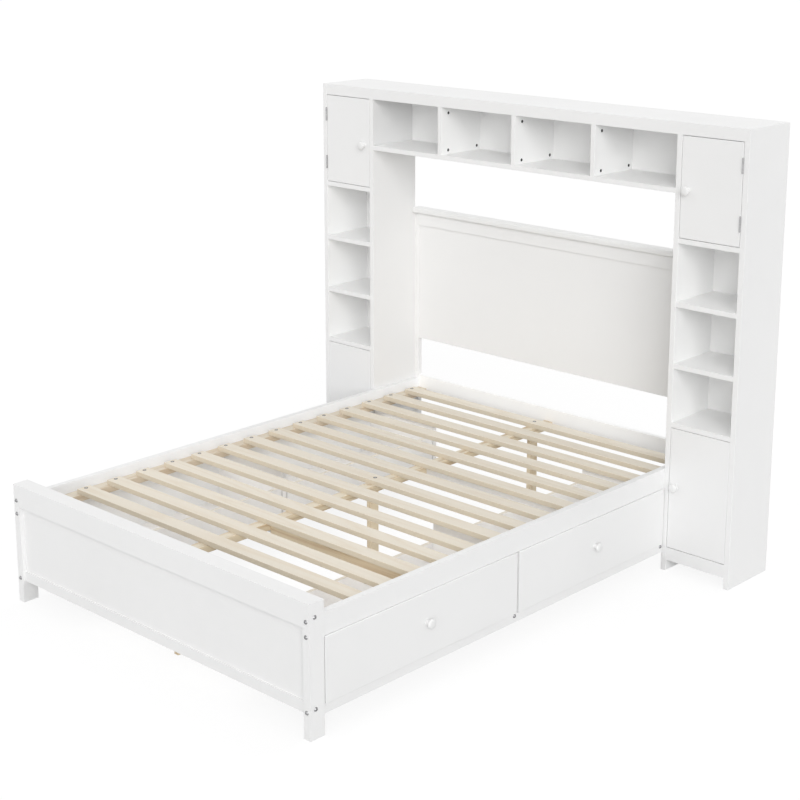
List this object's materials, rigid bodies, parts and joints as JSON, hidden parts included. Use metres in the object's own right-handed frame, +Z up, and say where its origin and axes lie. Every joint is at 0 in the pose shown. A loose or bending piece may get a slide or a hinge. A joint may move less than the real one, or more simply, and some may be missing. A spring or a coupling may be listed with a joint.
{
  "type": "storage bed frame",
  "caption": "White storage bed frame with side drawers, a pine slat base and a bookcase headboard: two shelf towers with doors joined by a bridge of open cubbies.",
  "frame": {"origin": "on the floor under the middle of the bed's overall box", "axes": "+X to the bed's right seen from the foot, +Y from foot to head, +Z up"},
  "size_m": [2.006, 2.0204, 1.617],
  "materials": {
    "white_paint": "satin white paint",
    "pine": "bare planed pine",
    "dark_metal": "dark bolts",
    "hinge_steel": "dull steel"
  },
  "bodies": {
    "bed_frame": {"beam_brackets": "hinge_steel", "bridge_back": "white_paint", "bridge_bottom": "white_paint", "bridge_dividers": "white_paint", "bridge_fascia": "white_paint", "bridge_top": "white_paint", "centre_beam": "pine", "centre_legs": "pine", "cross_brace_foot": "pine", "cross_brace_head": "white_paint", "drawer_partitions": "white_paint", "drawer_runners": "pine", "foot_posts": "white_paint", "footboard_bottom_rail": "white_paint", "footboard_panel": "white_paint", "footboard_top_rail": "white_paint", "frame_bolts": "dark_metal", "head_posts": "white_paint", "head_rail": "white_paint", "headboard_cap": "white_paint", "headboard_panel": "white_paint", "headboard_top_rail": "white_paint", "hinge_frame_leaves": "hinge_steel", "hinge_pins": "hinge_steel", "lower_door_pivots": "hinge_steel", "lower_side_rails": "white_paint", "slat_ledgers": "pine", "slats": "pine", "tower_backs": "white_paint", "tower_inner_side_left": "white_paint", "tower_inner_side_right": "white_paint", "tower_outer_side_left": "white_paint", "tower_outer_side_right": "white_paint", "tower_plinths": "white_paint", "tower_shelves_left": "white_paint", "tower_shelves_right": "white_paint", "upper_side_rail_left": "white_paint", "upper_side_rail_right": "white_paint"},
    "foot_drawer_right": {"foot_drawer_front_right": "white_paint", "foot_drawer_box_right": "white_paint", "foot_drawer_knob_right": "white_paint"},
    "head_drawer_right": {"head_drawer_front_right": "white_paint", "head_drawer_box_right": "white_paint", "head_drawer_knob_right": "white_paint"},
    "upper_door_right_leaf": {"upper_door_right": "white_paint", "upper_door_knob_right": "white_paint", "hinge_door_leaves_right": "hinge_steel"},
    "lower_door_right_leaf": {"lower_door_right": "white_paint", "lower_door_knob_right": "white_paint"},
    "foot_drawer_left": {"foot_drawer_front_left": "white_paint", "foot_drawer_box_left": "white_paint", "foot_drawer_knob_left": "white_paint"},
    "head_drawer_left": {"head_drawer_front_left": "white_paint", "head_drawer_box_left": "white_paint", "head_drawer_knob_left": "white_paint"},
    "upper_door_left_leaf": {"upper_door_left": "white_paint", "upper_door_knob_left": "white_paint", "hinge_door_leaves_left": "hinge_steel"},
    "lower_door_left_leaf": {"lower_door_left": "white_paint", "lower_door_knob_left": "white_paint"}
  },
  "joints": [
    {"name": "foot_drawer_right_slide", "type": "slide", "parent": "bed_frame", "child": "foot_drawer_right", "axis": [1, 0, 0], "range_m": [0, 0.23]},
    {"name": "head_drawer_right_slide", "type": "slide", "parent": "bed_frame", "child": "head_drawer_right", "axis": [1, 0, 0], "range_m": [0, 0.23]},
    {"name": "upper_door_right_hinge", "type": "hinge", "parent": "bed_frame", "child": "upper_door_right_leaf", "pos_m": [0.9818, 0.73425, 1.396], "axis": [0, 0, 1], "range_deg": [0, 110]},
    {"name": "lower_door_right_pivot", "type": "hinge", "parent": "bed_frame", "child": "lower_door_right_leaf", "pos_m": [0.9698, 0.74225, 0.314], "axis": [0, 0, 1], "range_deg": [0, 100]},
    {"name": "foot_drawer_left_slide", "type": "slide", "parent": "bed_frame", "child": "foot_drawer_left", "axis": [-1, 0, 0], "range_m": [0, 0.23]},
    {"name": "head_drawer_left_slide", "type": "slide", "parent": "bed_frame", "child": "head_drawer_left", "axis": [-1, 0, 0], "range_m": [0, 0.23]},
    {"name": "upper_door_left_hinge", "type": "hinge", "parent": "bed_frame", "child": "upper_door_left_leaf", "pos_m": [-0.9818, 0.73425, 1.396], "axis": [0, 0, -1], "range_deg": [0, 110]},
    {"name": "lower_door_left_pivot", "type": "hinge", "parent": "bed_frame", "child": "lower_door_left_leaf", "pos_m": [-0.9698, 0.74225, 0.314], "axis": [0, 0, -1], "range_deg": [0, 100]}
  ]
}
